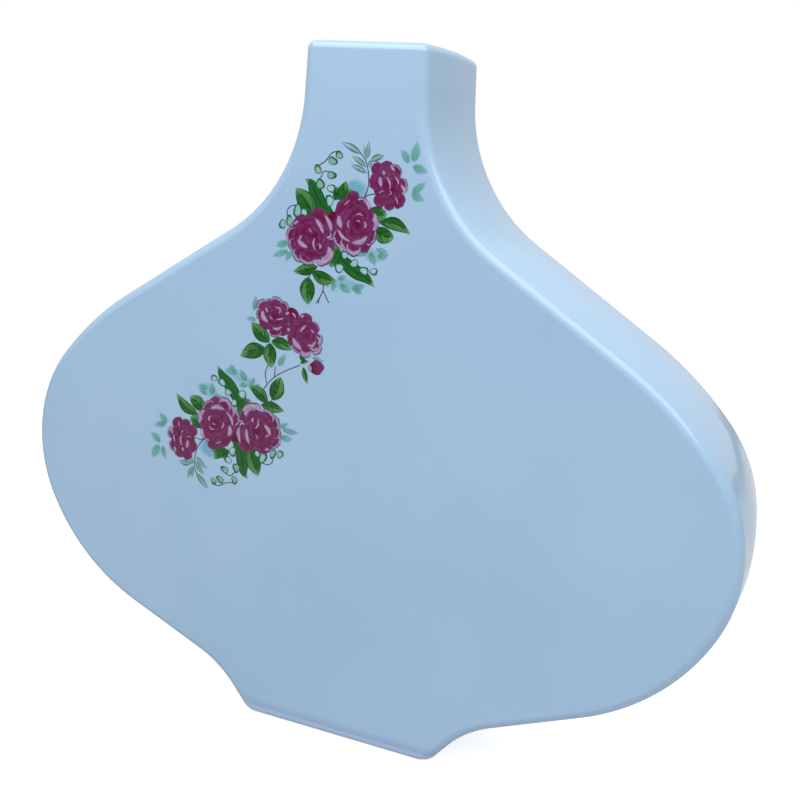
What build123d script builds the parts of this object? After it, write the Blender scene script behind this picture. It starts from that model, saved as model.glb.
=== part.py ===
from build123d import *
import math
import os

# A pillow vase: a flat bottle-shaped porcelain vessel, pressed in two half moulds
# that meet on a parting line round its edge, with rose transfers fired on its front.
# Millimetres, +Z up, front face toward -Y, origin at the middle of the foot.

# Body
vase_height = 215.0
vase_depth = 43.2
face_half_width = 117.2
widest_height = 82.3
seam_swell = 1.4
wall = 3.6
edge_round = 3.0
hollow_round = 2.0

# Outline of the front face: a foot that flares to a knee, a belly, and a knee into the neck
foot_half_width = 32.6
foot_flare_angle = 51.0
foot_knee_rise = 14.0
foot_knee_radius = 34.0
neck_knee_drop = 40.8
neck_knee_radius = 50.7
neck_taper_angle = 2.3
rim_half_width = 18.4

# Belly corners, as shares of the way from the widest point to a knee:
# how far the first corner rises, then how far across and up the second one lies
upper_belly_shares = (0.194, 0.228, 0.481)
lower_belly_shares = (0.159, 0.209, 0.64)

# Foot and rim
foot_round = 2.4
foot_ring_width = 6.0
foot_recess = 2.5
recess_round = 2.0
floor_thickness = 4.0
rim_round = 2.4
mouth_round_share = 0.8

# Transfers: one rose spray used twice, and a smaller sprig between the two
film_thickness = 0.2
transfer_span = 50.0
rose_petal_count = 9
petal_ring_share = 0.72
petal_share = 0.28
bud_share = 0.026
pale_width_share = 0.045
wash_share = 0.06

# Every cut runs this far past the face that it opens
overrun = 6.0

half_depth = vase_depth / 2
floor_top = foot_recess + floor_thickness
mouth_round = (wall - rim_round) * mouth_round_share

# Spray: roses as x, z, radius; leaves and pale leaves from base to tip; buds as x, z.
# All are shares of the transfer's span, about the spray's middle rose.
spray_rose_shares = ((-0.292, -0.116, 0.155), (0.0, 0.0, 0.15), (0.19, 0.228, 0.125))
spray_leaf_shares = (
    (-0.25, 0.03, -0.40, 0.17, 0.10),
    (-0.14, 0.04, -0.33, 0.215, 0.085),
    (-0.11, 0.125, -0.07, 0.24, 0.07),
    (-0.09, 0.135, -0.035, 0.195, 0.06),
    (0.08, 0.06, 0.185, 0.08, 0.08),
    (0.13, 0.02, 0.34, -0.025, 0.075),
    (0.11, -0.01, 0.24, -0.055, 0.085),
    (-0.23, -0.26, -0.395, -0.31, 0.07),
    (-0.27, -0.285, -0.11, -0.335, 0.07),
    (-0.29, -0.28, -0.29, -0.495, 0.09),
    (-0.12, -0.16, 0.14, -0.345, 0.09),
)
spray_bud_shares = (
    (-0.13, 0.37), (-0.16, 0.34), (-0.255, 0.285), (-0.16, 0.26),
    (-0.235, 0.20), (-0.16, 0.185), (-0.18, 0.12), (-0.38, 0.04),
    (-0.335, 0.04), (-0.43, -0.02), (-0.47, -0.04), (-0.06, -0.185),
    (-0.095, -0.265), (0.0, -0.225), (0.07, -0.255), (0.13, -0.26),
)
spray_pale_shares = (
    (0.305, 0.35, 0.25, 0.425), (0.325, 0.36, 0.345, 0.47), (0.32, 0.34, 0.42, 0.32),
    (0.325, 0.205, 0.41, 0.26), (0.33, 0.20, 0.40, 0.165),
    (-0.44, -0.155, -0.52, -0.18), (-0.45, -0.195, -0.535, -0.235), (-0.41, -0.20, -0.445, -0.26),
    (0.10, -0.15, 0.04, -0.21), (0.11, -0.155, 0.14, -0.23), (0.125, -0.13, 0.195, -0.11),
    (-0.12, -0.35, -0.125, -0.41), (-0.08, -0.35, -0.015, -0.40), (0.015, -0.36, 0.08, -0.335),
)
spray_wash_shares = ((-0.005, 0.22),)

# Sprig: the same kinds of shares, about the middle of its two roses
sprig_rose_shares = ((-0.10, 0.045, 0.125), (0.10, -0.04, 0.125), (0.18, -0.23, 0.045))
sprig_leaf_shares = (
    (-0.145, -0.12, -0.26, -0.01, 0.09),
    (-0.165, -0.155, -0.335, -0.23, 0.10),
    (-0.12, -0.115, -0.125, -0.27, 0.085),
    (-0.12, -0.105, 0.015, -0.14, 0.075),
    (0.095, -0.235, 0.125, -0.34, 0.03),
    (0.07, -0.165, 0.12, -0.205, 0.035),
)
sprig_bud_shares = ()
sprig_pale_shares = (
    (-0.23, 0.07, -0.255, 0.15), (-0.24, 0.02, -0.295, 0.0),
    (-0.095, -0.22, -0.02, -0.175), (0.16, -0.17, 0.225, -0.175),
)
sprig_wash_shares = ()

# Where each transfer sits, as shares of the face's half width and of the height, and its turn
upper_place_shares = (0.0, 0.769)
middle_place_shares = (-0.173, 0.619)
lower_place_shares = (-0.387, 0.46)
upper_turn_angle = 0.0
middle_turn_angle = 0.0
lower_turn_angle = 159.0


def direction(angle):
    """Unit vector at an angle from +X, turning toward +Z of the outline."""
    return Vector(math.cos(math.radians(angle)), math.sin(math.radians(angle)))


def outward(run):
    """Unit normal of a run of the right-hand outline, pointing away from the body."""
    side = run.rotate(Axis.Z, 90).normalized()
    return side if side.X > 0 else -side


def side_line(widest, knee, end, knee_radius, belly_shares, grow):
    """Outline from the widest point round two belly arcs, straight to a knee and on to its end,
    with every run moved outward by grow."""
    first_up_share, second_across_share, second_up_share = belly_shares
    room = knee - widest
    first = widest + Vector(0, room.Y * first_up_share)
    second = widest + Vector(room.X * second_across_share, room.Y * second_up_share)
    rise, slope, run, last = first - widest, second - first, knee - second, end - knee
    side_end = first + slope.normalized() * rise.length
    belly_end = second + run.normalized() * (slope.length - rise.length)
    mitre = (outward(run) + outward(last)) / (1 + outward(run).dot(outward(last)))

    start = widest + outward(rise) * grow
    side_end += outward(slope) * grow
    belly_end += outward(run) * grow
    side = TangentArc(start, side_end, tangent=rise)
    belly = TangentArc(side_end, belly_end, tangent=slope)
    knee_points = (belly_end, knee + mitre * grow, end + outward(last) * grow)
    return side + belly + FilletPolyline(*knee_points, radius=knee_radius - grow)


def outline(grow):
    """Closed outline of the front face moved outward by grow, run on past the foot and the rim."""
    widest = Vector(face_half_width, widest_height)
    rim = Vector(rim_half_width, vase_height)
    neck_rise = direction(90 + neck_taper_angle)
    neck_knee = rim - neck_rise * (neck_knee_drop / neck_rise.Y)
    neck_end = rim + neck_rise * overrun
    foot = Vector(foot_half_width, 0)
    foot_rise = direction(foot_flare_angle)
    foot_knee = foot + foot_rise * (foot_knee_rise / foot_rise.Y)
    foot_end = foot - foot_rise * overrun

    upper = side_line(widest, neck_knee, neck_end, neck_knee_radius, upper_belly_shares, grow)
    lower = side_line(widest, foot_knee, foot_end, foot_knee_radius, lower_belly_shares, grow)
    right = upper + lower
    left = mirror(right, about=Plane.YZ)
    top = Line(upper @ 1, left.vertices().sort_by(Axis.Y)[-1])
    bottom = Line(lower @ 1, left.vertices().sort_by(Axis.Y)[0])
    return make_face(right + left + top + bottom)


def drafted_half(inset, round_radius):
    """Front half of the body, from the parting plane to the face, with all walls moved in by inset."""
    seam = Plane.XZ * outline(seam_swell - inset)
    face = Plane.XZ.offset(half_depth - inset) * outline(-inset)
    half = loft([seam, face], ruled=True)
    front = half.faces().sort_by(Axis.Y)[0]
    ends = front.edges().sort_by(Axis.Z)
    arris = [edge for edge in front.edges() if edge not in (ends[0], ends[-1])]
    return fillet(arris, round_radius)


def between(low, high):
    """Slab that spans the whole body from one height to another."""
    reach = face_half_width + seam_swell + overrun
    return Pos(0, 0, low) * Box(
        2 * reach, 2 * vase_depth, high - low, align=(Align.CENTER, Align.CENTER, Align.MIN)
    )


def half_shell():
    """Front half mould's casting: outer skin, hollow with an open mouth, foot ring and lip."""
    outer = drafted_half(0, edge_round) & between(0, vase_height)
    sole = outer.faces().sort_by(Axis.Z)[0]
    seam_line_last = sole.edges().sort_by(Axis.Y)
    outer = fillet(seam_line_last[:-1], foot_round)
    rim = outer.faces().sort_by(Axis.Z)[-1]
    seam_line_last = rim.edges().sort_by(Axis.Y)
    outer = fillet(seam_line_last[:-1], rim_round)

    hollow = drafted_half(wall, hollow_round) & between(floor_top, vase_height + overrun)
    recess_length = 2 * (foot_half_width - foot_ring_width)
    recess_width = vase_depth - 2 * foot_ring_width
    recess = extrude(RectangleRounded(recess_length, recess_width, recess_round), foot_recess)
    shell = outer - hollow - recess

    mouth = new_edges(outer, hollow, combined=shell).group_by(Axis.Z)[-1]
    return fillet(mouth, mouth_round)


def rose(x, z, radius):
    """Scalloped rose head, a ring of petals round a core."""
    ring = radius * petal_ring_share
    petals = PolarLocations(ring, rose_petal_count) * Circle(radius * petal_share)
    return Pos(x, z) * (Circle(ring) + petals)


def leaf(base_x, base_z, tip_x, tip_z, width):
    """Pointed leaf between two arcs, from base to tip."""
    base = Vector(base_x, base_z)
    tip = Vector(tip_x, tip_z)
    middle = (base + tip) / 2
    side = (tip - base).rotate(Axis.Z, 90).normalized() * (width / 2)
    edges = ThreePointArc(base, middle + side, tip) + ThreePointArc(tip, middle - side, base)
    return make_face(edges)


def scaled(shares):
    """A row of shares as lengths on the transfer."""
    return [share * transfer_span for share in shares]


def joined(faces):
    """One sketch from many overlapping faces."""
    return Sketch() + list(faces)


def transfer(rose_shares, leaf_shares, bud_shares, pale_shares, wash_shares):
    """The three colour films of one transfer as flat shapes, none lying over another."""
    roses = joined(rose(*scaled(row)) for row in rose_shares)
    leaves = [leaf(*scaled(row)) for row in leaf_shares]
    buds = [Pos(*scaled(row)) * Circle(bud_share * transfer_span) for row in bud_shares]
    greens = joined(leaves + buds) - roses
    pale_width = pale_width_share * transfer_span
    pales = [leaf(*scaled(row), pale_width) for row in pale_shares]
    washes = [Pos(*scaled(row)) * Circle(wash_share * transfer_span) for row in wash_shares]
    tints = joined(pales + washes) - roses - greens
    return {"roses": roses, "leaves": greens, "tint": tints}


def film(placed):
    """A flat colour shape on the front face, given the film's thickness."""
    on_face = Plane((0, -half_depth, 0), x_dir=(1, 0, 0), z_dir=(0, -1, 0)) * placed
    return extrude(on_face, film_thickness)


nodes = {}
nodes["front_shell"] = half_shell()
nodes["back_shell"] = mirror(nodes["front_shell"], about=Plane.XZ)

spray = transfer(spray_rose_shares, spray_leaf_shares, spray_bud_shares, spray_pale_shares, spray_wash_shares)
sprig = transfer(sprig_rose_shares, sprig_leaf_shares, sprig_bud_shares, sprig_pale_shares, sprig_wash_shares)
transfers = {
    "upper_spray": (spray, upper_place_shares, upper_turn_angle),
    "middle_sprig": (sprig, middle_place_shares, middle_turn_angle),
    "lower_spray": (spray, lower_place_shares, lower_turn_angle),
}
bare_face = outline(-edge_round)
for name, (films, (across_share, up_share), turn) in transfers.items():
    place = Pos(across_share * face_half_width, up_share * vase_height) * Rot(0, 0, turn)
    for colour, flat in films.items():
        placed = place * flat & bare_face
        bare_face -= placed
        nodes[f"{name}_{colour}"] = film(placed)

os.makedirs("parts", exist_ok=True)
for name, solid in nodes.items():
    export_step(solid, f"parts/{name}.step")
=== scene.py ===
import bpy
import bmesh
import math
import random
from mathutils import Matrix, Vector


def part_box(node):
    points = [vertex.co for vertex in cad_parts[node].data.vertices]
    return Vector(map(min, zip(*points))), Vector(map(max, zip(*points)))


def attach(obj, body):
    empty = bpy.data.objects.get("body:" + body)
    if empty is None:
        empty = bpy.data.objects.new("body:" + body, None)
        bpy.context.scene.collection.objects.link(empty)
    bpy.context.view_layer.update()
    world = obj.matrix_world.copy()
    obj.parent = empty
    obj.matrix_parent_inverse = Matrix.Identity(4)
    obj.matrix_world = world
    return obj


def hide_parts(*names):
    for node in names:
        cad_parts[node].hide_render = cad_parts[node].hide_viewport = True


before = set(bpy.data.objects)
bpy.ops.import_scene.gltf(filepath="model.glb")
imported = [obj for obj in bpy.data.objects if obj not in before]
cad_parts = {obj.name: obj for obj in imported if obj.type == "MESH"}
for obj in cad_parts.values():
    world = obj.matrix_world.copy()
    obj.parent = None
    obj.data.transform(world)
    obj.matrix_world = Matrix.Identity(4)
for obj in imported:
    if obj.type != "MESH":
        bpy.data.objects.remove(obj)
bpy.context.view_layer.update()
bpy.ops.object.select_all(action="DESELECT")


# Body: a flat porcelain vessel with one open neck, slip-cast in a two-part plaster mould.
# The mould leaves a soft ridge round it at mid-depth. Clear glaze covers all of it but the
# ring under the foot, which stood bare on the kiln shelf.
mm = 0.001
tolerance = 0.02 * mm
front_low, front_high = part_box("front_shell")
vase_height = front_high.z
half_depth = -front_low.y
seam_swell = 1.4 * mm
ridge_width = 7 * mm
wall = 3.6 * mm
edge_round = 3 * mm
hollow_round = 2 * mm
floor_top = 6.5 * mm
foot_round = 2.4 * mm
foot_recess = 2.5 * mm
recess_shares = (0.86, 0.81)
recess_round = 0.8 * mm
rim_round = 2.4 * mm
mouth_round = 0.96 * mm
rim_dip = 1.5 * mm
sharp_angle = math.radians(60)
arc_step = 2.5

# Corners of the outline from the neck down in millimetres, each with how far its rounding reaches
neck_end = (18.16, 221)
neck_knee = (20.04, 174.2, 26.53)
shoulder = (95.06, 126.5, 16.66)
upper_side = (117.2, 100.1, 17.8)
lower_side = (117.2, 71.4, 10.9)
belly = (101.9, 38.6, 25.29)
foot_knee = (43.94, 14, 8.477)
foot_end = (28.82, -4.663)


def pick(kind, rule):
    """Selects only the vertices, edges or faces of the piece in hand that a rule holds for."""
    bpy.ops.mesh.select_mode(type={"verts": "VERT", "edges": "EDGE", "faces": "FACE"}[kind])
    bpy.ops.mesh.select_all(action="DESELECT")
    mesh = bmesh.from_edit_mesh(bpy.context.object.data)
    for item in getattr(mesh, kind):
        if rule(item):
            item.select_set(True)
    mesh.select_flush_mode()
    bmesh.update_edit_mesh(bpy.context.object.data)


def on_face(x, z):
    """A point of the front face, given in millimetres."""
    return Vector((x * mm, -half_depth, z * mm))


def pen():
    """The selected end of the line that is being drawn."""
    mesh = bmesh.from_edit_mesh(bpy.context.object.data)
    return next(vertex.co.copy() for vertex in mesh.verts if vertex.select)


def straight_to(point):
    """Draws a straight run of the outline."""
    bpy.ops.mesh.extrude_region_move(TRANSFORM_OT_translate={"value": point - pen()})


def round_corner(corner, onward):
    """Draws straight to where a corner's rounding starts, and round it toward the next corner."""
    middle, reach = on_face(*corner[:2]), corner[2] * mm
    heading = (middle - pen()).normalized()
    leaving = (on_face(*onward[:2]) - middle).normalized()
    angle = heading.angle(leaving)
    start = middle - heading * reach
    if (start - pen()).length > tolerance:
        straight_to(start)
    inward = (leaving - heading).normalized()
    centre = middle + inward * (reach / math.sin(angle / 2))
    clockwise = heading.z * leaving.x - heading.x * leaving.z > 0
    bpy.ops.mesh.spin(
        steps=max(3, round(math.degrees(angle) / arc_step)),
        angle=-angle if clockwise else angle,
        center=centre,
        axis=(0, 1, 0),
    )


bpy.ops.mesh.primitive_plane_add(size=1 * mm)
body = bpy.context.object
body.name = body.data.name = "porcelain_body"
bpy.ops.object.mode_set(mode="EDIT")
bpy.ops.mesh.merge(type="CENTER")
bpy.ops.mesh.select_all(action="SELECT")
bpy.ops.transform.translate(value=on_face(0, neck_end[1]))
straight_to(on_face(*neck_end))
corners = (neck_knee, shoulder, upper_side, lower_side, belly, foot_knee, foot_end)
for corner, onward in zip(corners, corners[1:]):
    round_corner(corner, onward)
straight_to(on_face(*foot_end))
straight_to(on_face(0, foot_end[1]))
bpy.ops.object.mode_set(mode="OBJECT")
bpy.ops.object.modifier_add(type="MIRROR")
body.modifiers["Mirror"].merge_threshold = tolerance
bpy.ops.object.modifier_apply(modifier="Mirror")

# The flat face is drawn back in two steps to the ridge and the other face
bpy.ops.object.mode_set(mode="EDIT")
bpy.ops.mesh.select_all(action="SELECT")
bpy.ops.mesh.edge_face_add()
for step in range(2):
    bpy.ops.mesh.extrude_region_move(TRANSFORM_OT_translate={"value": (0, half_depth, 0)})
bpy.ops.mesh.select_all(action="SELECT")
bpy.ops.mesh.normals_make_consistent(inside=False)
pick("verts", lambda vertex: abs(vertex.co.y) < tolerance)
bpy.ops.transform.shrink_fatten(value=seam_swell, use_even_offset=True)
bpy.ops.mesh.select_all(action="SELECT")
bpy.ops.mesh.bisect(plane_co=(0, 0, 0), plane_no=(0, 0, -1), clear_outer=True, use_fill=True)
bpy.ops.mesh.select_all(action="SELECT")
bpy.ops.mesh.normals_make_consistent(inside=False)
bpy.ops.object.mode_set(mode="OBJECT")
bpy.ops.object.modifier_add(type="SOLIDIFY")
body.modifiers["Solidify"].thickness = wall
body.modifiers["Solidify"].offset = -1
body.modifiers["Solidify"].use_even_offset = True
bpy.ops.object.modifier_apply(modifier="Solidify")


def round_edges(radius, segments, rule, even=False):
    """Rounds the edges of the piece in hand that a rule holds for, at an even width if asked."""
    pick("edges", rule)
    bpy.ops.mesh.bevel(
        offset=radius, segments=segments, affect="EDGES", clamp_overlap=False, loop_slide=not even
    )


def arris(edge, outside):
    """Whether an edge is where a flat face meets the band round it, outside or in the hollow."""
    flat, band = sorted(edge.link_faces, key=lambda face: -abs(face.normal.y))
    square = abs(flat.normal.y) > 0.9 and abs(band.normal.y) < 0.5 and abs(band.normal.z) < 0.97
    return square and (abs(edge.verts[0].co.y) > half_depth - wall / 2) == outside


def ridge(edge):
    """Whether an edge is part of the mould's ridge, on the outside or in the hollow."""
    return all(abs(vertex.co.y) < tolerance for vertex in edge.verts)


def level(edge, height):
    """Whether an edge lies at one height."""
    return all(abs(vertex.co.z - height) < tolerance for vertex in edge.verts)


def sharp(edge, height):
    """Whether an edge at one height is a sharp corner."""
    return level(edge, height) and edge.calc_face_angle() > sharp_angle


def mouth_edge(edge, outside):
    """Whether an edge is a sharp one of the rim, outside or toward the hollow."""
    spot = edge.verts[0].co
    outer = abs(spot.x) > neck_end[0] * mm - wall / 3 or abs(spot.y) > half_depth - wall / 3
    return sharp(edge, vase_height) and outer == outside


# Edges sponged round and mouth cut open at the rim, which sags a little to the back.
# The floor is raised, and a recess pressed up inside the foot ring.
bpy.ops.object.mode_set(mode="EDIT")
round_edges(edge_round, 6, lambda edge: arris(edge, True))
round_edges(hollow_round, 6, lambda edge: arris(edge, False))
round_edges(ridge_width, 6, ridge)
round_edges(foot_round, 5, lambda edge: level(edge, 0))
bpy.ops.mesh.select_all(action="SELECT")
bpy.ops.mesh.bisect(plane_co=(0, 0, vase_height), plane_no=(0, 0, 1), clear_outer=True)
pick("edges", lambda edge: edge.is_boundary)
bpy.ops.mesh.bridge_edge_loops()
round_edges(rim_round, 7, lambda edge: mouth_edge(edge, True), even=True)
round_edges(mouth_round, 4, lambda edge: mouth_edge(edge, False), even=True)
pick("verts", lambda vertex: vertex.co.z > vase_height - wall and vertex.co.y > half_depth - wall)
bpy.ops.transform.translate(
    value=(0, 0, -rim_dip),
    use_proportional_edit=True,
    proportional_edit_falloff="SHARP",
    proportional_size=2 * half_depth,
)
pick("faces", lambda face: face.normal.z > 0.9 and face.calc_center_median().z < 2 * wall)
bpy.ops.transform.translate(value=(0, 0, floor_top - wall))
pick("faces", lambda face: face.normal.z < -0.999 and face.calc_center_median().z < tolerance)
bpy.ops.mesh.extrude_region_move(TRANSFORM_OT_translate={"value": (0, 0, 0)})
bpy.ops.transform.resize(value=(*recess_shares, 1), center_override=(0, 0, 0))
bpy.ops.mesh.extrude_region_move(TRANSFORM_OT_translate={"value": (0, 0, foot_recess)})
round_edges(recess_round, 3, lambda edge: sharp(edge, 0))
bpy.ops.object.mode_set(mode="OBJECT")
bpy.ops.object.shade_smooth()
bpy.ops.object.modifier_add(type="WEIGHTED_NORMAL")
bpy.ops.object.modifier_apply(modifier="WeightedNormal")


class Finish:
    """A socket of a material, so that the maths of a finish can be written as an expression."""

    def __init__(self, tree, socket=None):
        self.tree, self.socket = tree, socket

    def node(self, kind, settings=None, inputs=None, output=0):
        """Adds a node with its settings, then the values or links of its sockets."""
        made = self.tree.nodes.new(kind)
        for name, value in (settings or {}).items():
            setattr(made, name, value)
        for name, value in (inputs or {}).items():
            if isinstance(value, Finish):
                self.tree.links.new(value.socket, made.inputs[name])
            else:
                made.inputs[name].default_value = value
        return Finish(self.tree, made.outputs[output])

    def maths(self, operation, first, second=0.0):
        return self.node("ShaderNodeMath", {"operation": operation}, {0: first, 1: second})

    def __add__(self, other):
        return self.maths("ADD", self, other)

    __radd__ = __add__

    def __mul__(self, other):
        return self.maths("MULTIPLY", self, other)

    __rmul__ = __mul__

    def __sub__(self, other):
        return self.maths("SUBTRACT", self, other)

    def __rsub__(self, other):
        return self.maths("SUBTRACT", other, self)

    def __abs__(self):
        return self.maths("ABSOLUTE", self)

    def fade(self, low, high):
        """0 below low and 1 above high, with a soft step between."""
        ends = {"Value": self, "From Min": low, "From Max": high}
        return self.node("ShaderNodeMapRange", {"interpolation_type": "SMOOTHSTEP"}, ends)

    def tint(self, below, above):
        """One colour where this is 0, another where it is 1."""
        colours = {"Factor": self, 6: below, 7: above}
        return self.node("ShaderNodeMix", {"data_type": "RGBA"}, colours, output=2)


def ink(red, green, blue):
    """A colour given as it looks on screen, from 0 to 255."""
    def linear(value):
        value /= 255
        return value / 12.92 if value <= 0.04045 else ((value + 0.055) / 1.055) ** 2.4
    return (linear(red), linear(green), linear(blue), 1.0)


def new_finish(name):
    """A new material, with its node tree and its shader."""
    material = bpy.data.materials.new(name)
    material.use_nodes = True
    return material, Finish(material.node_tree), material.node_tree.nodes["Principled BSDF"]


def dress(piece, material):
    """Gives a piece its material, and sets it in the frame."""
    piece.data.materials.clear()
    piece.data.materials.append(material)
    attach(piece, "root")


glaze, paint, shader = new_finish("clear_glaze_on_porcelain")
place = paint.node("ShaderNodeTexCoord", output="Object")
height = paint.node("ShaderNodeSeparateXYZ", inputs={0: place}, output=2)
cloud = paint.node("ShaderNodeTexNoise", inputs={"Vector": place, "Scale": 22.0, "Detail": 2.0})
speck = paint.node("ShaderNodeTexNoise", inputs={"Vector": place, "Scale": 900.0, "Detail": 1.0})
bare_line = height + (speck - 0.5) * (0.5 * mm)
bare = 1 - bare_line.fade(0.3 * mm, 0.6 * mm)
glazed = cloud.fade(0.3, 0.7).tint(ink(157, 189, 217), ink(162, 193, 221))
# Lighter glaze within about 3 mm of the floor, and a darker band above it up to about 6.5 mm
foot_band_line = height + (cloud - 0.5) * (1.6 * mm)
glazed = (1 - foot_band_line.fade(2.5 * mm, 3.3 * mm)).tint(glazed, ink(168, 190, 220))
band_above_foot = foot_band_line.fade(2.8 * mm, 3.5 * mm) * (1 - foot_band_line.fade(3.5 * mm, 6.5 * mm))
glazed = band_above_foot.tint(glazed, ink(147, 175, 205))
fired_paste = speck.fade(0.35, 0.65).tint(ink(205, 200, 190), ink(226, 222, 214))
ripple = paint.node("ShaderNodeTexNoise", inputs={"Vector": place, "Scale": 70.0, "Detail": 1.0})
uneven = {"Strength": 0.25, "Distance": 0.06 * mm, "Height": ripple}
shader.inputs["IOR"].default_value = 1.5
paint.tree.links.new(bare.tint(glazed, fired_paste).socket, shader.inputs["Base Color"])
paint.tree.links.new((0.07 + cloud * 0.05 + bare * 0.6).socket, shader.inputs["Roughness"])
paint.tree.links.new(paint.node("ShaderNodeBump", inputs=uneven).socket, shader.inputs["Normal"])
dress(body, glaze)
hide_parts("front_shell", "back_shell")


# Rose heads: full-blown roses in crimson overglaze enamel, printed on a transfer sheet, slid on
# to the glazed face and fired again so that they sink into it. Plum lines edge the rims that
# turn pale. Lifts are how far each print stands off the face, in millimetres.
under_rose_lift = 0.055
rose_lift = 0.06
ring_lift = 0.02
petal_lift = 0.0015
head_lift = 0.0001

# A rose is its middle, its half width and half height, and where its heart lies in shares of these.
# A guard petal is its direction, reach, spread and tone; above 0.5 its rim turns pale.
left_rose = (-14.5, -5.4, 8.2, 8.2, 0.1, 0.08)
left_guards = (
    (128, 0.9, 50, 0.3), (100, 0.82, 50, 0.1), (25, 0.92, 60, 0.1), (-14, 0.97, 50, 0.2),
    (68, 1.12, 46, 0.2), (155, 0.9, 36, 0.6), (178, 0.97, 44, 0.65), (-155, 0.92, 40, 0.65),
    (-124, 1.0, 38, 0.7), (-98, 0.96, 46, 0.7), (-46, 1.1, 56, 1.0),
)
middle_rose = (-0.1, 0.1, 7.3, 8.9, 0.06, 0.02)
middle_guards = (
    (104, 1.02, 44, 0.2), (146, 1.0, 50, 0.05), (-172, 0.92, 50, 0.1), (66, 0.87, 52, 0.75),
    (-58, 0.99, 40, 0.15), (-30, 0.96, 48, 0.6), (8, 0.96, 44, 0.9), (-142, 1.14, 40, 0.6),
    (-120, 1.02, 36, 0.7), (-94, 1.05, 44, 0.75),
)
small_rose = (9.2, 11.4, 6.0, 6.8, -0.08, 0.05)
small_guards = (
    (134, 1.12, 38, 0.2), (100, 0.98, 50, 0.1), (60, 0.94, 50, 0.6), (-44, 1.08, 46, 0.3),
    (-82, 0.98, 40, 0.1), (-122, 1.0, 44, 0.1), (4, 0.97, 46, 0.65), (170, 0.96, 48, 0.0),
)
sprig_left_rose = (-5.8, 2.1, 6.2, 6.0, 0.08, 0.08)
sprig_left_guards = (
    (6, 0.9, 56, 0.15), (-42, 1.1, 50, 0.1), (-140, 0.86, 60, 0.2), (-80, 1.02, 50, 0.6),
    (178, 0.94, 44, 0.6), (108, 0.92, 36, 0.6), (140, 1.08, 44, 0.7), (78, 1.05, 44, 0.7),
    (46, 1.07, 36, 0.65),
)
sprig_right_rose = (5.1, -2.1, 6.2, 6.3, 0.1, -0.05)
sprig_right_guards = (
    (125, 0.92, 44, 0.1), (88, 1.04, 50, 0.2), (172, 0.96, 50, 0.1), (-155, 0.98, 50, 0.2),
    (40, 0.9, 46, 0.6), (-118, 0.98, 50, 0.6), (-10, 0.97, 44, 0.7), (-42, 1.12, 44, 0.75),
    (-84, 1.07, 36, 0.9),
)
# Guard petals start this far out. An inner ring is how many petals it has, and how far each
# starts, reaches and spreads.
guard_start = 0.45
outer_petals = (6, 0.28, 0.78, 86)
cup_petals = (4, 0.12, 0.57, 128)
heart_petals = (3, 0.0, 0.32, 165)


def patch(sheet, across, along, place, tone=0.0):
    """Adds one brush mark to a sheet: a grid whose points go where place says, in millimetres."""
    bpy.ops.mesh.primitive_grid_add(x_subdivisions=across, y_subdivisions=along, size=1)
    mark = bpy.context.object
    for vertex in mark.data.vertices:
        x, lift, z = place(vertex.co.x + 0.5, vertex.co.y + 0.5)
        vertex.co = Vector((x, -lift, z)) * mm
    tones = mark.data.attributes.new("tone", "FLOAT", "POINT")
    tones.data.foreach_set("value", [tone] * len(mark.data.vertices))
    sheet.append(mark)


def brush(sheet, points, width, lift, tone=0.0, taper=0.0):
    """A brush line through its points, of even width or tapered to both ends."""
    spots = [Vector(point) for point in points]
    spots = [2 * spots[0] - spots[1], *spots, 2 * spots[-1] - spots[-2]]
    spans = len(points) - 1

    def along_line(t):
        span = min(int(t * spans), spans - 1)
        t = t * spans - span
        a, b, c, d = spots[span:span + 4]
        bend = 2 * a - 5 * b + 4 * c - d
        twist = 3 * b - 3 * c + d - a
        return 0.5 * (2 * b + (c - a) * t + bend * t * t + twist * t ** 3)

    def place(u, v):
        run = (along_line(min(1, v + 0.01)) - along_line(max(0, v - 0.01))).normalized()
        swell = 1 - taper + taper * math.sin(math.pi * v)
        spot = along_line(v) + Vector((run.y, -run.x)) * ((u - 0.5) * width * swell)
        return spot.x, lift, spot.y

    patch(sheet, 4 if taper else 1, 5 * spans, place, tone)


def in_rose(rose, right, up):
    """A point of a rose, given in shares of its half sizes."""
    return rose[0] + rose[2] * right, rose[1] + rose[3] * up


def petal(sheet, rose, deep, direction, inner, reach, spread, scallops, lift, tone):
    """One petal of a rose, a lobe with a scalloped rim that widens from the heart."""
    heart = Vector(rose[4:6]) * deep

    def place(u, v):
        side = 2 * u - 1
        angle = math.radians(direction - spread * side / 2)
        rim = reach * (1 - 0.2 * abs(side) ** 3) + 0.03 * abs(math.sin(scallops * math.pi * u))
        share = inner + (rim - inner) * v
        x, z = in_rose(rose, heart.x + share * math.cos(angle), heart.y + share * math.sin(angle))
        return x, lift, z

    patch(sheet, 4 * scallops + 4, 4, place, tone)


def rose_head(sheet, rose, guards, seed):
    """A rose from its guard petals in to its heart."""
    dice = random.Random(seed)
    lowest = rose_lift + head_lift * seed
    for number, (direction, reach, spread, tone) in enumerate(guards):
        lift = lowest + petal_lift * number
        petal(sheet, rose, 0, direction, guard_start, reach, spread, 3, lift, tone)
    rings = (outer_petals, cup_petals, heart_petals)
    for row, (count, inner, reach, spread) in enumerate(rings, 1):
        start = dice.uniform(0, 360)
        deep = row / len(rings)
        scallops = 2 if row == 1 else 1
        for number in range(count):
            direction = start + 360 * number / count + dice.uniform(-8, 8)
            tone = dice.uniform(0, 0.4)
            far = reach * dice.uniform(0.92, 1.03)
            lift = lowest + ring_lift * row + petal_lift * number
            petal(sheet, rose, deep, direction, inner, far, spread, scallops, lift, tone)


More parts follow.
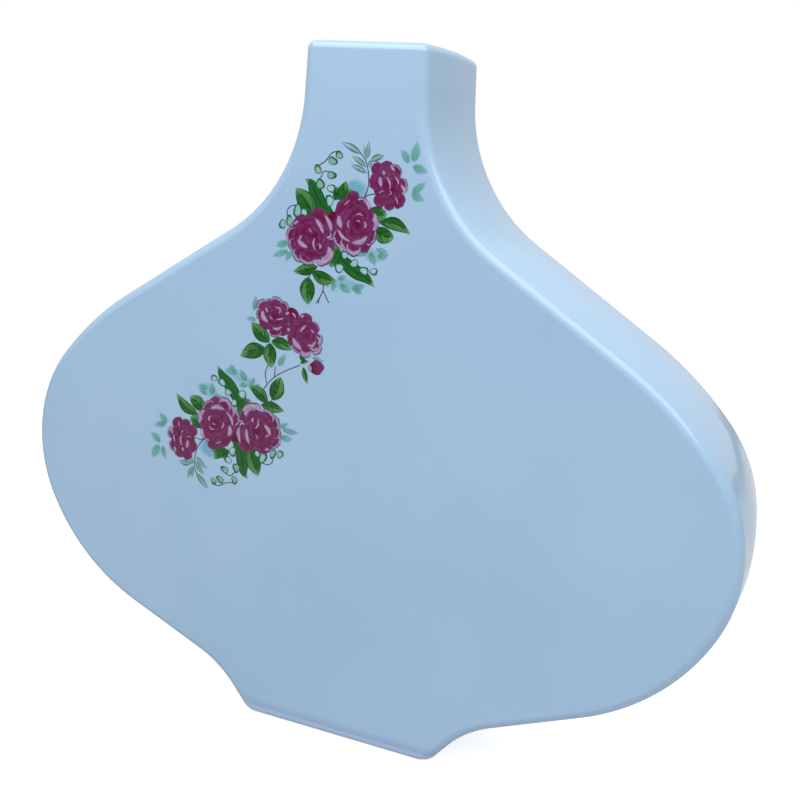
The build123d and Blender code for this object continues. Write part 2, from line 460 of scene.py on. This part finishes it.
def sheet_of(marks, name):
    """Joins the brush marks of one colour into one printed film, with pointed ends closed."""
    bpy.ops.object.select_all(action="DESELECT")
    for mark in marks:
        mark.select_set(True)
    bpy.context.view_layer.objects.active = marks[0]
    bpy.ops.object.join()
    film = bpy.context.object
    film.name = film.data.name = name
    bpy.ops.object.mode_set(mode="EDIT")
    bpy.ops.mesh.select_all(action="SELECT")
    bpy.ops.mesh.remove_doubles(threshold=tolerance / 20)
    bpy.ops.object.mode_set(mode="OBJECT")
    return film


def second_print(film, name):
    """Another print of the same film."""
    bpy.ops.object.select_all(action="DESELECT")
    film.select_set(True)
    bpy.context.view_layer.objects.active = film
    bpy.ops.object.duplicate()
    bpy.context.object.name = bpy.context.object.data.name = name
    return bpy.context.object


def apply_transfer(film, x, z, turn):
    """Slides a film to its place on the face, turned anticlockwise."""
    turned = Matrix.Rotation(-math.radians(turn), 4, "Y")
    film.data.transform(Matrix.Translation(on_face(x, z)) @ turned)
    film.data.update()


def enamel(name, grain, detail):
    """A new fired enamel, glossy and a little uneven, and how its blotches lie."""
    material, paint, shader = new_finish(name)
    place = paint.node("ShaderNodeTexCoord", output="Object")
    noise = {"Vector": place, "Scale": grain, "Detail": detail}
    blotch = paint.node("ShaderNodeTexNoise", inputs=noise)
    paint.tree.links.new((0.1 + blotch * 0.08).socket, shader.inputs["Roughness"])
    shader.inputs["IOR"].default_value = 1.35
    return material, paint, shader, blotch


def in_mark(paint):
    """How far across and along its brush mark a point lies, and the tone of the mark."""
    flat = paint.node("ShaderNodeTexCoord", output="UV")
    across = paint.node("ShaderNodeSeparateXYZ", inputs={0: flat}, output=0)
    along = paint.node("ShaderNodeSeparateXYZ", inputs={0: flat}, output=1)
    tone = paint.node("ShaderNodeAttribute", {"attribute_name": "tone"}, output="Fac")
    return across, along, tone


def bristle_streaks(paint, across, along, seed, scale, detail):
    """The streaks that the bristles leave in a brush mark, other ones for each seed."""
    spread = paint.node("ShaderNodeCombineXYZ", inputs={0: across, 1: along, 2: seed})
    noise = {"Vector": spread, "Scale": scale, "Detail": detail}
    return paint.node("ShaderNodeTexNoise", inputs=noise)


# Where each transfer's middle lies on the face in millimetres, and how far it is turned
upper_place = (0, 165.3, 0)
middle_place = (-20.3, 133.1, 0)
lower_place = (-45.4, 98.9, 159)

rose_enamel, paint, shader, blotch = enamel("crimson_rose_enamel", 300.0, 3.0)
across, along, tone = in_mark(paint)
streak = bristle_streaks(paint, across * 9, along * 1.5, tone * 37, 1.0, 2.0)
colour = along.fade(0.1, 0.8).tint(ink(86, 3, 40), ink(108, 22, 78))
colour = (tone.fade(0.05, 0.4) * 0.6).tint(colour, ink(100, 8, 58))
colour = (blotch.fade(0.42, 0.68) * 0.6).tint(colour, ink(114, 44, 98))
colour = ((along + (streak - 0.5) * 0.7).fade(0.7, 1.15) * 0.38).tint(colour, ink(142, 92, 140))
turns_pale = tone.fade(0.48, 0.52)
pale = (along + (streak - 0.5) * 0.3 + tone.fade(0.5, 1.0) * 0.3).fade(0.8, 0.95) * turns_pale
colour = (pale * 0.9).tint(colour, ink(164, 154, 190))
edged = turns_pale * 0.55 + 0.3
colour = (along.fade(0.9, 0.94) * edged).tint(colour, ink(62, 20, 72))
paint.tree.links.new(colour.socket, shader.inputs["Base Color"])

# Crimson between the roses of the spray and of the sprig, and the sprig's closed bud
spray_gap = ((-8.8, 2.4), (-7.2, 0.8), (-6.6, -2.0), (-7.2, -5.6))
sprig_gap = ((-1.4, 4.7), (0.7, 3.9), (1.3, 1.4), (0.0, -2.2))
closed_bud = ((6.5, -11.8), (8.6, -11.6), (10.4, -11.2), (12.0, -11.0))
marks = []
brush(marks, spray_gap, 4.8, under_rose_lift, 0.15, 0.75)
rose_head(marks, left_rose, left_guards, 11)
rose_head(marks, middle_rose, middle_guards, 12)
rose_head(marks, small_rose, small_guards, 13)
upper_roses = sheet_of(marks, "upper_rose_print")
marks = []
brush(marks, sprig_gap, 4.0, under_rose_lift, 0.3, 0.7)
rose_head(marks, sprig_left_rose, sprig_left_guards, 14)
rose_head(marks, sprig_right_rose, sprig_right_guards, 15)
brush(marks, closed_bud, 4.6, under_rose_lift, 0.15, 0.85)
middle_roses = sheet_of(marks, "middle_rose_print")
lower_roses = second_print(upper_roses, "lower_rose_print")
for film, spot, node in (
    (upper_roses, upper_place, "upper_spray_roses"),
    (middle_roses, middle_place, "middle_sprig_roses"),
    (lower_roses, lower_place, "lower_spray_roses"),
):
    apply_transfer(film, *spot)
    dress(film, rose_enamel)
    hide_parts(node)


# Petal lights: the lilac highlights of the roses, a thin tint printed over the crimson in soft
# strokes that let it show through at their edges.
# A light is three points and a breadth, in shares of its rose's half sizes.
light_lift = 0.15
light_step = 0.001
light_spread = 2.4
left_lights = (
    (-0.53, -0.07, -0.33, -0.24, -0.06, -0.36, 0.1), (0.19, 0.07, 0.13, -0.2, 0.24, -0.45, 0.045),
    (0.33, -0.16, 0.42, -0.25, 0.37, -0.34, 0.06), (0.5, 0.92, 0.76, 0.56, 0.8, 0.26, 0.09),
    (0.8, 0.29, 0.78, 0.12, 0.6, 0.08, 0.05), (0.14, 0.74, 0.38, 0.48, 0.53, 0.16, 0.09),
    (-0.12, 0.36, 0.0, 0.27, 0.1, 0.16, 0.025), (0.38, -0.84, 0.74, -0.66, 0.97, -0.3, 0.13),
    (-0.9, 0.2, -0.95, -0.06, -0.82, -0.32, 0.04), (-0.65, 0.42, -0.58, 0.5, -0.5, 0.6, 0.05),
    (0.7, 0.03, 0.86, 0.05, 0.95, 0.18, 0.03), (-0.3, 0.1, -0.4, -0.02, -0.42, -0.14, 0.03),
)
middle_lights = (
    (-0.74, 0.24, -0.72, 0.0, -0.6, -0.22, 0.13), (-0.78, -0.2, -0.56, -0.46, -0.16, -0.6, 0.08),
    (-0.2, -0.62, 0.26, -0.56, 0.55, -0.33, 0.12), (0.66, 0.22, 0.88, 0.1, 0.82, -0.1, 0.12),
    (0.24, 0.8, 0.48, 0.66, 0.55, 0.44, 0.1), (-0.56, 0.52, -0.42, 0.64, -0.26, 0.75, 0.03),
    (-0.04, 0.26, 0.13, 0.32, 0.32, 0.24, 0.035), (-0.28, 0.12, -0.34, -0.05, -0.26, -0.2, 0.045),
    (0.32, 0.12, 0.43, -0.01, 0.36, -0.14, 0.05), (0.0, 0.05, 0.1, 0.1, 0.2, 0.03, 0.03),
    (-0.9, -0.64, -0.6, -0.82, -0.26, -0.92, 0.06), (-0.26, -0.94, -0.02, -0.95, 0.14, -0.82, 0.05),
)
small_lights = (
    (-0.42, 0.38, -0.39, 0.12, -0.33, -0.1, 0.11), (-0.14, 0.42, 0.08, 0.12, 0.11, -0.18, 0.055),
    (0.11, -0.16, 0.18, -0.29, 0.05, -0.37, 0.035), (-0.47, -0.34, -0.32, -0.26, -0.19, -0.2, 0.03),
    (0.6, 0.1, 0.81, -0.07, 0.91, -0.3, 0.1), (0.84, 0.24, 0.95, 0.02, 0.98, -0.2, 0.03),
    (0.04, 0.88, 0.2, 0.7, 0.32, 0.6, 0.07), (-0.31, 0.6, -0.23, 0.5, -0.27, 0.4, 0.09),
    (0.36, -0.36, 0.49, -0.55, 0.56, -0.74, 0.04), (0.3, 0.42, 0.49, 0.22, 0.53, 0.04, 0.055),
)
sprig_left_lights = (
    (-0.58, 0.32, -0.54, -0.07, -0.22, -0.34, 0.15), (-0.44, 0.46, -0.36, 0.31, -0.27, 0.17, 0.07),
    (0.04, 0.54, 0.38, 0.44, 0.31, 0.15, 0.06), (-0.06, -0.54, 0.26, -0.58, 0.58, -0.38, 0.08),
    (0.14, -0.1, 0.39, -0.07, 0.63, 0.04, 0.05), (0.68, 0.22, 0.78, 0.28, 0.9, 0.36, 0.08),
    (-0.2, 0.1, -0.12, -0.06, 0.02, -0.12, 0.04), (-0.86, 0.2, -0.88, 0.0, -0.8, -0.2, 0.04),
)
sprig_right_lights = (
    (-0.68, -0.15, -0.43, -0.5, -0.1, -0.76, 0.15), (-0.3, 0.08, -0.08, 0.34, 0.09, 0.52, 0.07),
    (-0.2, -0.9, 0.04, -0.98, 0.1, -0.8, 0.11), (0.12, -0.42, 0.45, -0.45, 0.64, -0.12, 0.08),
    (0.57, 0.03, 0.82, -0.11, 0.72, -0.42, 0.08), (-0.26, 0.82, -0.16, 0.9, -0.06, 0.92, 0.08),
    (-0.95, 0.24, -0.88, 0.16, -0.82, 0.08, 0.09), (0.24, -0.54, 0.56, -0.64, 0.8, -0.46, 0.08),
    (0.3, 0.3, 0.42, 0.24, 0.5, 0.14, 0.05),
)


def lights_on(sheet, rose, lights):
    """The lights of one rose."""
    for number, light in enumerate(lights):
        points = [in_rose(rose, light[i], light[i + 1]) for i in (0, 2, 4)]
        width = light_spread * light[6] * rose[2]
        brush(sheet, points, width, light_lift + light_step * number, 0.1 * number, 0.9)


lilac_enamel, paint, shader, blotch = enamel("thin_lilac_enamel", 500.0, 2.0)
across, along, tone = in_mark(paint)
sideways = abs(across * 2 - 1)
streak = bristle_streaks(paint, across * 3, along * 1.5, tone * 23, 1.6, 2.0)
colour = streak.fade(0.35, 0.65).tint(ink(160, 122, 164), ink(184, 166, 198))
paint.tree.links.new(colour.socket, shader.inputs["Base Color"])
sides = (sideways + (streak - 0.5) * 0.9).fade(0.35, 1.0)
ends = abs(along * 2 - 1).fade(0.6, 1.0)
cover = (1 - sides) * (1 - ends)
paint.tree.links.new((cover * 0.96).socket, shader.inputs["Alpha"])

marks = []
lights_on(marks, left_rose, left_lights)
lights_on(marks, middle_rose, middle_lights)
lights_on(marks, small_rose, small_lights)
upper_light_film = sheet_of(marks, "upper_light_print")
marks = []
lights_on(marks, sprig_left_rose, sprig_left_lights)
lights_on(marks, sprig_right_rose, sprig_right_lights)
brush(marks, ((6.9, -10.6), (7.2, -11.8), (7.9, -12.8)), 1.8, light_lift, 0.3, 0.9)
brush(marks, ((0.4, 4.2), (1.4, 3.6), (2.0, 2.6)), 0.9, light_lift, 0.5, 0.9)
middle_light_film = sheet_of(marks, "middle_light_print")
lower_light_film = second_print(upper_light_film, "lower_light_print")
for film, spot in (
    (upper_light_film, upper_place),
    (middle_light_film, middle_place),
    (lower_light_film, lower_place),
):
    apply_transfer(film, *spot)
    dress(film, lilac_enamel)


# Leaves: rose leaves and two long dark blades in green enamel, one half of each leaf printed
# darker than the other and paling to the tip, with a dark midrib and edge.
# A leaf is its base, tip, width, how far it bows, and its tone; past 2 it is an outlined twig leaf.
leaf_lift = 0.03
leaf_step = 0.001
upper_blade_lift, lower_blade_lift = 0.028, 0.029
spray_leaves = (
    (-13.2, 1.0, -19.8, 8.6, 5.8, 0.2, 0.3),
    (-7.0, 6.0, -6.4, 10.0, 2.4, 0.2, 0.9),
    (-6.0, 6.2, -3.6, 11.8, 3.2, 0.2, 0.7),
    (-4.4, 6.2, -1.8, 9.6, 2.8, -0.1, 0.5),
    (3.4, 3.3, 9.3, 3.4, 4.7, 0.3, 0.1),
    (7.0, 1.1, 16.8, -1.4, 3.7, -1.2, 0.6),
    (5.6, -1.3, 11.8, -3.0, 4.6, 0.4, 0.4),
    (-11.8, -13.4, -19.9, -15.7, 3.5, -0.2, 0.2),
    (-13.8, -15.2, -5.5, -17.0, 3.9, 0.6, 0.8),
    (-14.8, -16.8, -14.6, -25.0, 5.0, 0.2, 0.35),
    (-5.0, -7.6, -7.8, -13.2, 3.8, 0.3, 0.15),
)
upper_blade = ((-17.0, 11.4), (-14.9, 10.2), (-13.3, 7.6), (-11.7, 4.8), (-9.2, 3.2), (-6.4, 2.0))
lower_blade = ((-7.4, -5.6), (-4.4, -10.2), (-0.2, -13.3), (3.8, -15.1), (6.7, -17.5))
twig_leaves = (
    (0.3, 19.6, -5.8, 22.3, 1.9, 0.2, 2.5), (2.3, 16.0, -2.5, 18.8, 1.5, 0.2, 2.6),
    (2.5, 14.4, -2.7, 16.3, 1.5, 0.2, 2.7), (2.2, 18.0, 2.6, 23.3, 1.3, 0.2, 2.8),
    (1.9, 18.6, 1.2, 21.9, 0.9, 0.1, 2.9), (3.4, 17.7, 7.7, 19.4, 1.8, -0.3, 3.0),
    (3.2, 18.0, 3.8, 15.6, 1.2, 0.1, 3.1),
)
sprig_leaves = (
    (-6.8, -5.8, -13.3, -0.4, 4.6, -0.3, 0.2),
    (-8.0, -8.0, -17.0, -11.5, 5.0, 0.5, 0.7),
    (-6.8, -6.0, -6.0, -13.8, 4.6, 0.2, 0.5),
    (-6.2, -5.4, 1.0, -7.2, 3.8, -0.6, 0.15),
    (5.0, -11.8, 6.6, -17.0, 1.8, 0.2, 0.6),
    (3.5, -8.3, 6.0, -10.2, 1.5, 0.2, 0.1),
    (3.9, -10.9, 6.8, -9.9, 1.3, -0.3, 0.1),
)


def leaf(sheet, base_x, base_z, tip_x, tip_z, width, bow, tone, lift, pointed_tip=False):
    """One leaf from base to tip, bowed to one side. A broad one is blunt unless told otherwise."""
    base, tip = Vector((base_x, base_z)), Vector((tip_x, tip_z))
    run = tip - base
    beside = Vector((run.y, -run.x)).normalized()
    blunt = 0 if pointed_tip else min(1, max(0, 2 * width / run.length - 0.85))

    def place(u, v):
        side = 2 * u - 1
        pointed = math.sin(math.pi * v ** 0.85) if 0 < v < 1 else 0
        swell = pointed + (math.sqrt(4 * v * (1 - v)) - pointed) * blunt
        spot = base + run * v + beside * (side * swell * width / 2 + bow * math.sin(math.pi * v))
        return spot.x, lift, spot.y

    patch(sheet, 6, 14, place, tone)


leaf_enamel, paint, shader, blotch = enamel("green_leaf_enamel", 420.0, 2.0)
across, along, tone = in_mark(paint)
sideways = abs(across * 2 - 1)
streak = bristle_streaks(paint, across * 1.5, along * 7 - sideways * 3, tone * 11, 1.2, 1.0)
half = (across + (streak - 0.5) * 0.5).fade(0.4, 0.62)
lit = (half * 0.5 + along * 0.6 + (streak - 0.5) * 1.4).fade(0.35, 1.0)
tip = (along + (streak - 0.5) * 0.4).fade(0.72, 1.05)
line = along.maths("MAXIMUM", sideways.fade(0.74, 0.9), 1 - sideways.fade(0.04, 0.14))
colour = blotch.fade(0.35, 0.65).tint(ink(10, 82, 22), ink(26, 94, 30))
colour = lit.tint(colour, ink(76, 134, 70))
colour = (tip * 0.75).tint(colour, ink(116, 166, 122))
colour = (line * (1 - tip * 0.8) * 0.75).tint(colour, ink(4, 48, 22))
middle = along.fade(0.0, 0.22) * (1 - along.fade(0.78, 1.0))
blade = (middle + (blotch - 0.5) * 0.6).fade(0.1, 0.75)
vein = (abs(sideways - 0.45).fade(0.1, 0.5) + (streak - 0.5) * 1.2).fade(0.2, 1.0)
blade_green = vein.tint(ink(24, 97, 40), ink(6, 72, 26))
colour = tone.fade(1.2, 1.3).tint(colour, blade.tint(ink(100, 154, 106), blade_green))
twig_line = sideways.fade(0.4, 0.72)
twig = (along + (blotch - 0.5) * 1.2).fade(0.3, 1.1).tint(ink(112, 162, 158), ink(150, 188, 210))
colour = tone.fade(2.2, 2.3).tint(colour, (twig_line * 0.8).tint(twig, ink(64, 66, 66)))
paint.tree.links.new(colour.socket, shader.inputs["Base Color"])

marks = []
for number, row in enumerate(spray_leaves + twig_leaves):
    leaf(marks, *row, leaf_lift + leaf_step * number)
brush(marks, upper_blade, 4.4, upper_blade_lift, 1.5, 1.0)
brush(marks, lower_blade, 4.2, lower_blade_lift, 1.6, 1.0)
upper_leaves = sheet_of(marks, "upper_leaf_print")
marks = []
for number, row in enumerate(sprig_leaves):
    leaf(marks, *row, leaf_lift + leaf_step * number)
middle_leaves = sheet_of(marks, "middle_leaf_print")
lower_leaves = second_print(upper_leaves, "lower_leaf_print")
for film, spot, node in (
    (upper_leaves, upper_place, "upper_spray_leaves"),
    (middle_leaves, middle_place, "middle_sprig_leaves"),
    (lower_leaves, lower_place, "lower_spray_leaves"),
):
    apply_transfer(film, *spot)
    dress(film, leaf_enamel)
    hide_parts(node)


# Buds: small round berries and bell buds over the leaves, each a pale drop of enamel with
# a green shade on one side and a fine dark green ring.
# A bud is its middle, its half width and half height, and its tone.
bud_lift = 0.052
bud_step = 0.0005
spray_buds = (
    (-6.3, 18.8, 1.2, 1.1, 0.2), (-8.2, 17.0, 1.4, 1.2, 0.1), (-12.9, 14.4, 1.2, 1.3, 0.2),
    (-8.4, 13.0, 1.4, 1.2, 0.0), (-11.9, 10.3, 1.3, 1.6, 0.1), (-8.3, 9.3, 1.3, 1.3, 0.7),
    (-8.8, 5.9, 1.4, 1.6, 1.0), (-19.1, 2.0, 1.4, 1.9, 0.4), (-16.8, 1.9, 1.1, 1.3, 0.9),
    (-21.6, -1.0, 1.2, 1.6, 0.3), (-23.9, -2.2, 1.2, 1.3, 0.4), (-3.3, -9.1, 1.2, 1.1, 1.0),
    (-4.9, -13.0, 1.6, 1.4, 1.0), (-0.1, -11.4, 1.4, 1.3, 0.5), (3.2, -13.0, 1.4, 1.2, 0.8),
    (6.2, -13.0, 1.2, 1.1, 0.6),
)


def bud(sheet, x, z, half_width, half_height, tone, lift):
    """A round bud, drawn from its middle out."""
    def place(u, v):
        angle = -2 * math.pi * u
        uneven = 0.1 * math.cos(2 * angle + 9 * tone) + 0.08 * math.cos(3 * angle + 5 * tone)
        right = half_width * v * (1 + uneven) * math.cos(angle)
        up = half_height * v * (1 + uneven) * math.sin(angle)
        return x + right, lift, z + up

    patch(sheet, 16, 3, place, tone)


bud_enamel, paint, shader, blotch = enamel("pale_bud_enamel", 620.0, 1.0)
around, outward, tone = in_mark(paint)
turned = around * (2 * math.pi) + tone * 9
shaded = (0.5 + 0.5 * turned.maths("COSINE", turned)) * outward + (blotch - 0.5) * 0.8
colour = tone.fade(0.1, 0.7).tint(ink(118, 170, 146), ink(146, 192, 202))
colour = (shaded.fade(0.2, 0.7) * (1 - tone * 0.6)).tint(colour, ink(54, 116, 74))
colour = (blotch.fade(0.55, 0.75) * 0.6).tint(colour, ink(168, 204, 206))
colour = ((outward + shaded * 0.3).fade(0.78, 0.92) * 0.9).tint(colour, ink(14, 70, 40))
paint.tree.links.new(colour.socket, shader.inputs["Base Color"])

marks = []
for number, row in enumerate(spray_buds):
    bud(marks, *row, bud_lift + bud_step * number)
upper_buds = sheet_of(marks, "upper_bud_print")
lower_buds = second_print(upper_buds, "lower_bud_print")
for film, spot in ((upper_buds, upper_place), (lower_buds, lower_place)):
    apply_transfer(film, *spot)
    dress(film, bud_enamel)


# Stems: hair-fine lines of grey-plum enamel that carry the buds, the small rose and the twigs.
# The forked end below the upper spray is trimmed off the lower one.
stem_width = 0.3
stem_lift = 0.025
spray_stems = (
    ((2.0, 7.4), (3.1, 10.5), (3.0, 14.3), (2.0, 17.7), (0.3, 19.7), (-0.8, 21.0)),
    ((2.0, 7.4), (3.2, 8.3), (5.2, 8.8)),
    ((-6.2, 19.8), (-8.6, 19.2), (-10.4, 17.0), (-12.4, 15.6)),
    ((-9.4, 14.0), (-11.0, 13.8), (-11.9, 12.0)),
    ((-19.4, 3.8), (-21.4, 3.2), (-22.4, 1.8), (-22.3, 0.4)),
    ((-13.6, -14.2), (-14.6, -17.0)),
)
fork_stems = (
    ((-9.6, -17.4), (-9.8, -20.2), (-10.8, -22.6), (-11.9, -24.3)),
    ((-9.8, -20.2), (-8.9, -21.6), (-7.7, -23.7)),
    ((-10.6, -22.2), (-11.0, -23.2), (-11.1, -24.2)),
)
sprig_stems = (
    ((4.0, -11.4), (0.2, -13.3), (-3.4, -15.4), (-6.1, -17.7), (-8.7, -21.1)),
    ((-7.2, -13.0), (-8.0, -15.6), (-7.5, -18.8)),
    ((-4.6, -13.0), (-4.8, -16.4)),
)

stem_enamel, paint, shader, blotch = enamel("plum_line_enamel", 600.0, 1.0)
colour = blotch.fade(0.35, 0.65).tint(ink(44, 40, 66), ink(84, 70, 88))
paint.tree.links.new(colour.socket, shader.inputs["Base Color"])

for name, lines, spot in (
    ("upper_stem_print", spray_stems + fork_stems, upper_place),
    ("middle_stem_print", sprig_stems, middle_place),
    ("lower_stem_print", spray_stems, lower_place),
):
    marks = []
    for points in lines:
        brush(marks, points, stem_width, stem_lift)
    film = sheet_of(marks, name)
    apply_transfer(film, *spot)
    dress(film, stem_enamel)


# Pale leaves: soft mint shadows of leaves behind the spray, and pale washes, thin enough
# that the glaze shows through toward their edges.
# Each is its base, tip and width; a wash has its strength as well.
pale_lift = 0.01
wash_lift = 0.006
pale_step = 0.0005
pale_bow = 0.2
spray_pales = (
    (15.2, 17.6, 12.2, 21.8, 2.9), (16.2, 18.0, 17.2, 24.2, 3.6), (15.9, 17.3, 21.2, 15.9, 3.2),
    (16.2, 10.1, 20.7, 13.3, 2.8), (16.2, 10.1, 20.4, 8.0, 3.2),
    (-21.2, -7.3, -26.2, -9.0, 3.0), (-21.2, -9.8, -27.2, -12.1, 2.6),
    (-20.3, -9.8, -22.5, -13.2, 2.2),
    (4.2, -7.2, 1.2, -9.4, 2.4), (4.8, -7.2, 6.6, -11.6, 2.6), (6.4, -6.5, 10.4, -6.9, 2.2),
    (6.9, -8.7, 10.8, -7.4, 2.5), (-6.2, -17.2, -6.4, -20.6, 2.2), (-8.4, -17.4, -8.2, -19.4, 1.8),
    (-4.4, -17.4, -0.7, -20.3, 2.7), (-0.8, -18.8, 4.0, -16.9, 2.9), (0.2, -18.4, 3.2, -19.8, 2.2),
    (-5.4, -16.4, -2.2, -15.0, 2.2),
)
spray_washes = (
    (-3.8, 10.8, 3.2, 8.4, 6.8, 1.0),
    (-8.0, -17.4, 4.6, -18.2, 5.0, 0.3),
    (2.6, -8.6, 10.6, -8.2, 5.6, 0.3),
)
sprig_pales = (
    (-12.5, 3.0, -11.9, 8.2, 2.8), (-11.4, 0.3, -15.4, 0.5, 2.2),
    (-3.9, -12.9, -1.1, -8.4, 2.8), (7.7, -8.5, 12.0, -9.2, 2.2),
)

pale_enamel, paint, shader, blotch = enamel("thin_mint_enamel", 380.0, 2.0)
shader.inputs["IOR"].default_value = 1.5
across, along, wash = in_mark(paint)
sideways = abs(across * 2 - 1)
colour = (along + (blotch - 0.5) * 0.8).fade(0.0, 0.9).tint(ink(82, 160, 138), ink(112, 184, 180))
colour = wash.tint(colour, ink(108, 182, 204))
paint.tree.links.new(colour.socket, shader.inputs["Base Color"])
ends = along.fade(0.0, 0.2) * (1 - along.fade(0.55, 1.0) * 0.75)
cover = (1 - sideways.fade(0.3, 1.0)) * ends * (0.4 + blotch * 0.7)
strength = 1 - wash.fade(0.0, 0.3) * 0.65 + wash.fade(0.5, 1.0) * 0.45
paint.tree.links.new((cover * strength).socket, shader.inputs["Alpha"])

marks = []
for number, row in enumerate(spray_washes):
    leaf(marks, *row[:5], 0.0, row[5], wash_lift + pale_step * number)
for number, row in enumerate(spray_pales):
    leaf(marks, *row, pale_bow, 0.0, pale_lift + pale_step * number, pointed_tip=True)
upper_pales = sheet_of(marks, "upper_tint_print")
marks = []
for number, row in enumerate(sprig_pales):
    leaf(marks, *row, pale_bow, 0.0, pale_lift + pale_step * number, pointed_tip=True)
middle_pales = sheet_of(marks, "middle_tint_print")
lower_pales = second_print(upper_pales, "lower_tint_print")
for film, spot, node in (
    (upper_pales, upper_place, "upper_spray_tint"),
    (middle_pales, middle_place, "middle_sprig_tint"),
    (lower_pales, lower_place, "lower_spray_tint"),
):
    apply_transfer(film, *spot)
    dress(film, pale_enamel)
    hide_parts(node)


# Floor and light: a plain white studio table with soft light from above. Floor and backdrop
# look white to the camera, and darker where the glaze mirrors them.
def shown(paint, mirrored_share):
    """1 to the camera, and a share of that where a thing is mirrored or seen through another."""
    seen = paint.node("ShaderNodeLightPath", output="Is Camera Ray")
    mirrored = paint.node("ShaderNodeLightPath", output="Is Glossy Ray")
    passed = paint.node("ShaderNodeLightPath", output="Is Transmission Ray")
    indirect = seen.maths("MAXIMUM", mirrored, passed) * mirrored_share
    return seen.maths("MAXIMUM", seen, indirect)


def softbox(name, spot, target, width, depth, power):
    """A rectangular lamp that the camera doesn't see, turned toward a point."""
    bpy.ops.object.light_add(type="AREA", location=spot)
    lamp = bpy.context.object
    lamp.name = name
    lamp.data.shape = "RECTANGLE"
    lamp.data.size, lamp.data.size_y = width, depth
    lamp.data.energy = power
    lamp.rotation_euler = (Vector(target) - lamp.location).to_track_quat("-Z", "Y").to_euler()
    lamp.visible_camera = False
    return lamp


bpy.ops.mesh.primitive_plane_add(size=8, location=(0, 0, -0.05 * mm))
floor = bpy.context.object
floor.name = "studio_floor"
white, paint, shader = new_finish("white_floor")
shader.inputs["Base Color"].default_value = (0.58, 0.58, 0.58, 1)
shader.inputs["Roughness"].default_value = 0.9
shader.inputs["Emission Strength"].default_value = 0.8
glow = shown(paint, 0.1).tint((0, 0, 0, 1), (1, 1, 1, 1))
paint.tree.links.new(glow.socket, shader.inputs["Emission Color"])
floor.data.materials.append(white)

world = bpy.data.worlds.new("studio")
bpy.context.scene.world = world
world.use_nodes = True
sky = Finish(world.node_tree)
backdrop = world.node_tree.nodes["Background"]
backdrop.inputs["Color"].default_value = (1, 1, 1, 1)
sky.tree.links.new((0.28 + shown(sky, 0.6) * 0.72).socket, backdrop.inputs["Strength"])

softbox("overhead_softbox", (0.15, -0.28, 0.62), (0.15, 0, 0.1), 1.2, 0.55, 6.5)
behind = softbox("back_softbox", (0, 0.75, 0.6), (0, 0, 0.1), 0.8, 0.5, 4.0)
behind.visible_glossy = False

# Camera: where the photograph was taken from, close in front and a little to the right
camera = bpy.data.objects.new("camera", bpy.data.cameras.new("camera"))
bpy.context.scene.collection.objects.link(camera)
eye = Vector((127.22, -295.36, 193.6)) * mm
right = Vector((0.9198, 0.38806, 0.05809))
up = Vector((-0.15081, 0.21295, 0.96535))
view = Matrix((right, up, right.cross(up))).transposed().to_4x4()
camera.matrix_world = Matrix.Translation(eye) @ view
camera.data.lens = 47.19
camera.data.clip_start = 0.01
bpy.context.scene.camera = camera
bpy.context.scene.view_settings.view_transform = "Standard"
